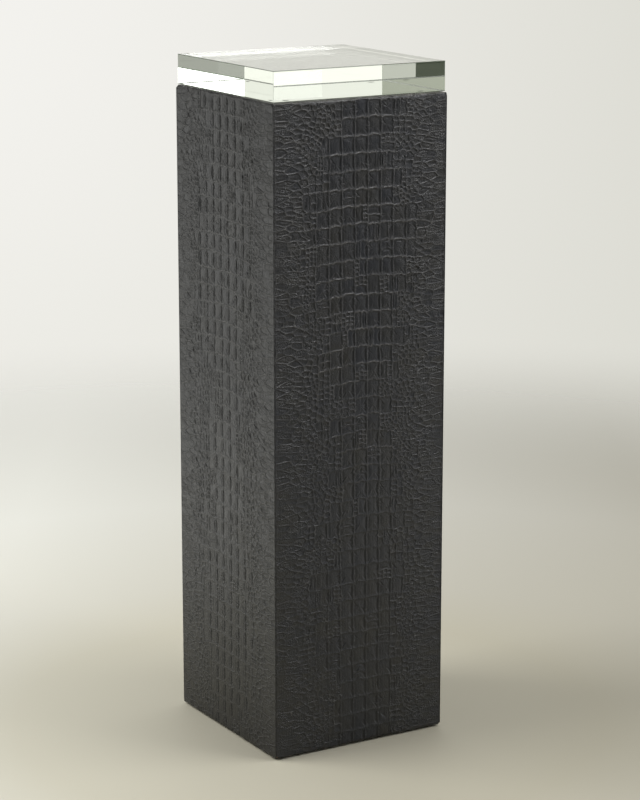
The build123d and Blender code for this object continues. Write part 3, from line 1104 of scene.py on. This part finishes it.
deck = Hide(DECK_HALF - 0.6, -(DECK_HALF - 0.6), DECK_HALF - 0.6, 503, band=False, pebble=1.5)
deck.folds = []
piece = sheet_mesh("embossed_deck_hide", deck, deck_place, lambda x, y: 0.8, 0.6, HIDE_T - 0.05)
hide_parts("deck_hide")
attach(piece, "plinth")
print(piece.name, len(piece.data.vertices), sum(len(p.vertices) - 2 for p in piece.data.polygons))


# ------------------------------------------------------------------------------------------------ clear slab
def make_slab():
    """The solid block, with its edges ground to a narrow rounded arris."""
    import bmesh

    bm = bmesh.new()
    bmesh.ops.create_cube(bm, size=1.0)
    size, mid = SLAB_HI - SLAB_LO, (SLAB_HI + SLAB_LO) / 2
    for v in bm.verts:
        v.co = Vector((v.co.x * size.x + mid.x, v.co.y * size.y + mid.y, v.co.z * size.z + mid.z))
    bmesh.ops.bevel(bm, geom=list(bm.edges), offset=0.9 * MM, offset_type="OFFSET", segments=3, profile=0.62,
                    affect="EDGES", clamp_overlap=True)
    bmesh.ops.recalc_face_normals(bm, faces=bm.faces)
    mesh = bpy.data.meshes.new("clear_slab")
    bm.to_mesh(mesh)
    bm.free()
    for p in mesh.polygons:
        p.use_smooth = p.area < 0.001
        level = min(p.center.z - SLAB_LO.z, SLAB_HI.z - p.center.z) < 0.85 * MM
        p.material_index = 1 if p.area < 0.001 and level else 0
    mesh.materials.append(GLASS)
    mesh.materials.append(ARRIS)
    o = bpy.data.objects.new("clear_slab", mesh)
    scene.collection.objects.link(o)
    # flat faces stay flat: their corners take the face normal
    w = o.modifiers.new("face_normals", "WEIGHTED_NORMAL")
    w.mode = "FACE_AREA"
    w.keep_sharp = True
    return o


slab = make_slab()
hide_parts("glass_slab")
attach(slab, "slab")


# ------------------------------------------------------------------------------------------------ CAD nodes that stay
def paint(node, material):
    o = frame["nodes"][node]
    o.data.materials.clear()
    o.data.materials.append(material)


for side in ("front", "right", "back", "left"):
    paint(f"panel_{side}", FIBREBOARD)
for node in ("diaphragm_lower", "diaphragm_upper", "top_board"):
    paint(node, FIBREBOARD)
paint("base_board", PAINTED)
for corner in ("front_left", "front_right", "back_right", "back_left"):
    paint(f"corner_post_{corner}", PINE)
    paint(f"mitre_spline_{corner}", PLYWOOD)
    paint(f"glide_{corner}", NYLON)
for node in ("top_board_screws", "base_board_screws", "glide_nails"):
    paint(node, ZINC)
paint("clear_bumpers", SILICONE)


# ------------------------------------------------------------------------------------------------ floor and light
AHEAD = Vector((0.511, 0.860, 0.0))          # level direction from the camera to the object


def only(light, *receivers):
    """The light falls on these objects alone."""
    c = bpy.data.collections.new(light.name + "_receivers")
    for o in receivers:
        c.objects.link(o)
    light.light_linking.receiver_collection = c


def make_floor():
    """A plain pale floor: warm grey round the object, wall-coloured further out, darkened by painted shade towards the
    right, and gone before it would fill the glass.
    """
    m, t, s, out = new_material("floor")
    c = t.nodes.new("ShaderNodeTexCoord")
    length = t.nodes.new("ShaderNodeVectorMath")
    length.operation = "LENGTH"
    link(t, c.outputs["Object"], length.inputs[0])
    r = length.outputs["Value"]
    wobble = noise(t, c.outputs["Object"], 0.8, 2.0)
    rr = maths(t, "ADD", r, maths(t, "MULTIPLY", wobble, 0.04))
    near = ramp(t, remap(t, rr, 0.5, 1.3, 0.0, 1.0),
                [(0.0, (0.57, 0.55, 0.455)), (0.30, (0.62, 0.61, 0.54)), (1.0, (0.72, 0.72, 0.665))])
    # painted shade: the floor darkens towards the right of the view
    across = t.nodes.new("ShaderNodeVectorMath")
    across.operation = "DOT_PRODUCT"
    across.inputs[1].default_value = (0.860, -0.511, 0.0)
    link(t, c.outputs["Object"], across.inputs[0])
    shade = t.nodes.new("ShaderNodeMix")
    shade.data_type = "RGBA"
    shade.blend_type = "MULTIPLY"
    shade.inputs["Factor"].default_value = 1.0
    link(t, near, shade.inputs["A"])
    link(t, ramp(t, remap(t, across.outputs["Value"], -0.6, 0.7, 0.0, 1.0), [(0.0, (1.0, 1.0, 1.0)), (1.0, (0.60, 0.58, 0.54))]),
         shade.inputs["B"])
    link(t, shade.outputs["Result"], s.inputs["Base Color"])
    s.inputs["Roughness"].default_value = 0.6
    s.inputs["Specular IOR Level"].default_value = 0.2
    clear = t.nodes.new("ShaderNodeBsdfTransparent")
    mix = t.nodes.new("ShaderNodeMixShader")
    fade = t.nodes.new("ShaderNodeMapRange")
    fade.interpolation_type = "SMOOTHSTEP"
    fade.inputs["From Min"].default_value = 1.5
    fade.inputs["From Max"].default_value = 3.0
    link(t, r, fade.inputs["Value"])
    link(t, fade.outputs["Result"], mix.inputs[0])
    link(t, s.outputs[0], mix.inputs[1])
    link(t, clear.outputs[0], mix.inputs[2])
    link(t, mix.outputs[0], out.inputs["Surface"])
    mesh = bpy.data.meshes.new("floor")
    n = 96
    ring = [(3.1 * math.cos(2 * math.pi * i / n), 3.1 * math.sin(2 * math.pi * i / n), 0) for i in range(n)]
    mesh.from_pydata(ring, [], [tuple(range(n))])
    mesh.materials.append(m)
    o = bpy.data.objects.new("floor", mesh)
    scene.collection.objects.link(o)
    return o


def make_flag():
    """A dark card beside the object, seen only through the slab: it draws the slab's right-hand end."""
    m, t, s, out = new_material("flag")
    n = noise(t, coords(t), 40.0, 2.0)
    glow = t.nodes.new("ShaderNodeEmission")
    link(t, ramp(t, n, [(0.3, (0.040, 0.050, 0.028)), (0.7, (0.046, 0.056, 0.032))]), glow.inputs["Color"])
    link(t, glow.outputs[0], out.inputs["Surface"])
    away, across = Vector((-0.538, 0.843, 0)), Vector((0.843, 0.538, 0))
    mesh = bpy.data.meshes.new("flag")
    mid = away * 0.9
    a, b = mid + across * -0.35, mid + across * 0.150
    z0, z1 = 0.72, 1.035
    mesh.from_pydata([(a.x, a.y, z0), (b.x, b.y, z0), (b.x, b.y, z1), (a.x, a.y, z1)], [], [(0, 1, 2, 3)])
    mesh.materials.append(m)
    o = bpy.data.objects.new("flag", mesh)
    scene.collection.objects.link(o)
    o.visible_camera = False
    o.visible_diffuse = False
    o.visible_glossy = False
    o.visible_shadow = False


def area_light(name, at, towards, size, power, colour=(1, 1, 1)):
    data = bpy.data.lights.new(name, "AREA")
    data.shape = "RECTANGLE"
    data.size, data.size_y = size
    data.energy = power
    data.color = colour
    o = bpy.data.objects.new(name, data)
    scene.collection.objects.link(o)
    o.location = at
    o.rotation_mode = "QUATERNION"
    o.rotation_quaternion = (Vector(towards) - Vector(at)).to_track_quat("-Z", "Y")
    o.visible_camera = False
    return o


def make_world():
    """A plain pale backdrop. The slab looks out into a soft room; the hide is lit by one with a dark quarter behind the camera."""
    world = bpy.data.worlds.new("studio")
    scene.world = world
    world.use_nodes = True
    t = world.node_tree
    bg = next(n for n in t.nodes if n.type == "BACKGROUND")
    out = next(n for n in t.nodes if n.type == "OUTPUT_WORLD")
    c = t.nodes.new("ShaderNodeTexCoord")
    ray = c.outputs["Generated"]
    sep = t.nodes.new("ShaderNodeSeparateXYZ")
    link(t, ray, sep.inputs[0])
    z = sep.outputs["Z"]

    def along(direction):
        d = t.nodes.new("ShaderNodeVectorMath")
        d.operation = "DOT_PRODUCT"
        d.inputs[1].default_value = tuple(Vector(direction).normalized())
        link(t, ray, d.inputs[0])
        return d.outputs["Value"]

    def step(value, a, b):
        f = t.nodes.new("ShaderNodeMapRange")
        f.interpolation_type = "SMOOTHSTEP"
        f.inputs["From Min"].default_value = a
        f.inputs["From Max"].default_value = b
        link(t, value, f.inputs["Value"])
        return f.outputs["Result"]

    def mix(f, a, b):
        m = t.nodes.new("ShaderNodeMix")
        m.data_type = "RGBA"
        link(t, f, m.inputs["Factor"])
        for x, socket in ((a, "A"), (b, "B")):
            if isinstance(x, tuple):
                m.inputs[socket].default_value = (*x, 1)
            else:
                link(t, x, m.inputs[socket])
        return m.outputs["Result"]

    # what the slab sees
    room = ramp(t, remap(t, z, -0.6, 0.9, 0.0, 1.0),
                [(0.0, (0.42, 0.40, 0.34)), (0.30, (1.12, 1.10, 1.02)), (0.37, (1.12, 1.10, 1.02)), (0.43, (0.935, 0.925, 0.85)),
                 (1.0, (0.95, 0.95, 0.92))])
    quarter = step(along((-0.535, 0.838, 0.0)), 0.84, 0.97)
    room = mix(quarter, room, mix(step(z, -0.04, 0.04), (0.56, 0.56, 0.50), (0.41, 0.42, 0.345)))
    quarter = step(along((0.47, -0.88, 0.0)), 0.80, 0.95)
    room = mix(quarter, room, mix(step(z, 0.26, 0.34), (0.38, 0.38, 0.345), (0.55, 0.55, 0.52)))

    # what lights the hide
    soft = ramp(t, remap(t, z, -0.8, 1.0, 0.0, 1.0),
                [(0.0, (0.21, 0.20, 0.19)), (0.35, (0.31, 0.31, 0.32)), (0.50, (0.35, 0.35, 0.37)), (1.0, (0.66, 0.66, 0.68))])
    soft = mix(step(along((0.511, 0.860, 0.22)), 0.72, 0.93), soft, (0.90, 0.90, 0.83))
    soft = mix(step(along((-0.535, 0.838, 0.0)), 0.80, 0.95), soft, (0.56, 0.56, 0.52))
    soft = mix(step(along((-0.774, -0.633, 0.0)), 0.15, 0.62), soft, (0.035, 0.035, 0.036))

    # what the camera sees: a plain wall, paler to the left, with painted shade darkening it to the right and lower down
    plain = mix(step(z, -0.36, -0.08), (0.78, 0.775, 0.71), (0.90, 0.89, 0.855))
    plain = mix(step(along((0.860, -0.511, 0.0)), -0.15, 0.22), plain, (0.70, 0.695, 0.635))

    path = t.nodes.new("ShaderNodeLightPath")
    first = mix(path.outputs["Is Transmission Ray"], soft, room)
    link(t, mix(path.outputs["Is Camera Ray"], first, plain), bg.inputs["Color"])
    bg.inputs["Strength"].default_value = 1.0


floor = make_floor()
make_flag()
make_world()
hides = [o for o in scene.objects if o.name.startswith("embossed_")]
area_light("window", (2.03, -3.45, 1.67), (0, 0, 1.0), (1.2, 1.06), 12.0, (1.0, 0.995, 0.98))
area_light("top", (0.6, -0.4, 4.2), (0, 0, 0.5), (3.0, 3.0), 26)
only(area_light("high_right", (0.88, -1.52, 2.75), (0, 0, 0.75), (1.5, 1.5), 64, (0.99, 0.99, 1.0)), *hides)
only(area_light("right_strip", (2.16, -0.50, 0.7), (0, 0, 0.6), (0.8, 1.7), 9), *hides)
only(area_light("low_right", (0.80, -0.75, 0.09), (0, 0, 0.07), (0.7, 0.14), 0.5), *hides)
only(area_light("left_wall", (-1.35, 2.05, 0.50), (0, 0, 0.40), (2.2, 1.0), 4.5), *hides)
only(area_light("low_left", (-0.75, 0.95, 0.09), (0, 0, 0.07), (0.9, 0.14), 0.4), *hides)
only(area_light("floor_left", (-2.6, 1.2, 3.0), (0, 0, 0.0), (2.4, 2.4), 118, (1.0, 0.99, 0.96)), floor)
only(area_light("floor_right", (1.6, -1.4, 2.2), (0, 0, 0.0), (1.6, 1.6), 30, (1.0, 0.99, 0.96)), floor)

scene.view_settings.view_transform = "Standard"
scene.view_settings.look = "None"
scene.view_settings.exposure = 0.0
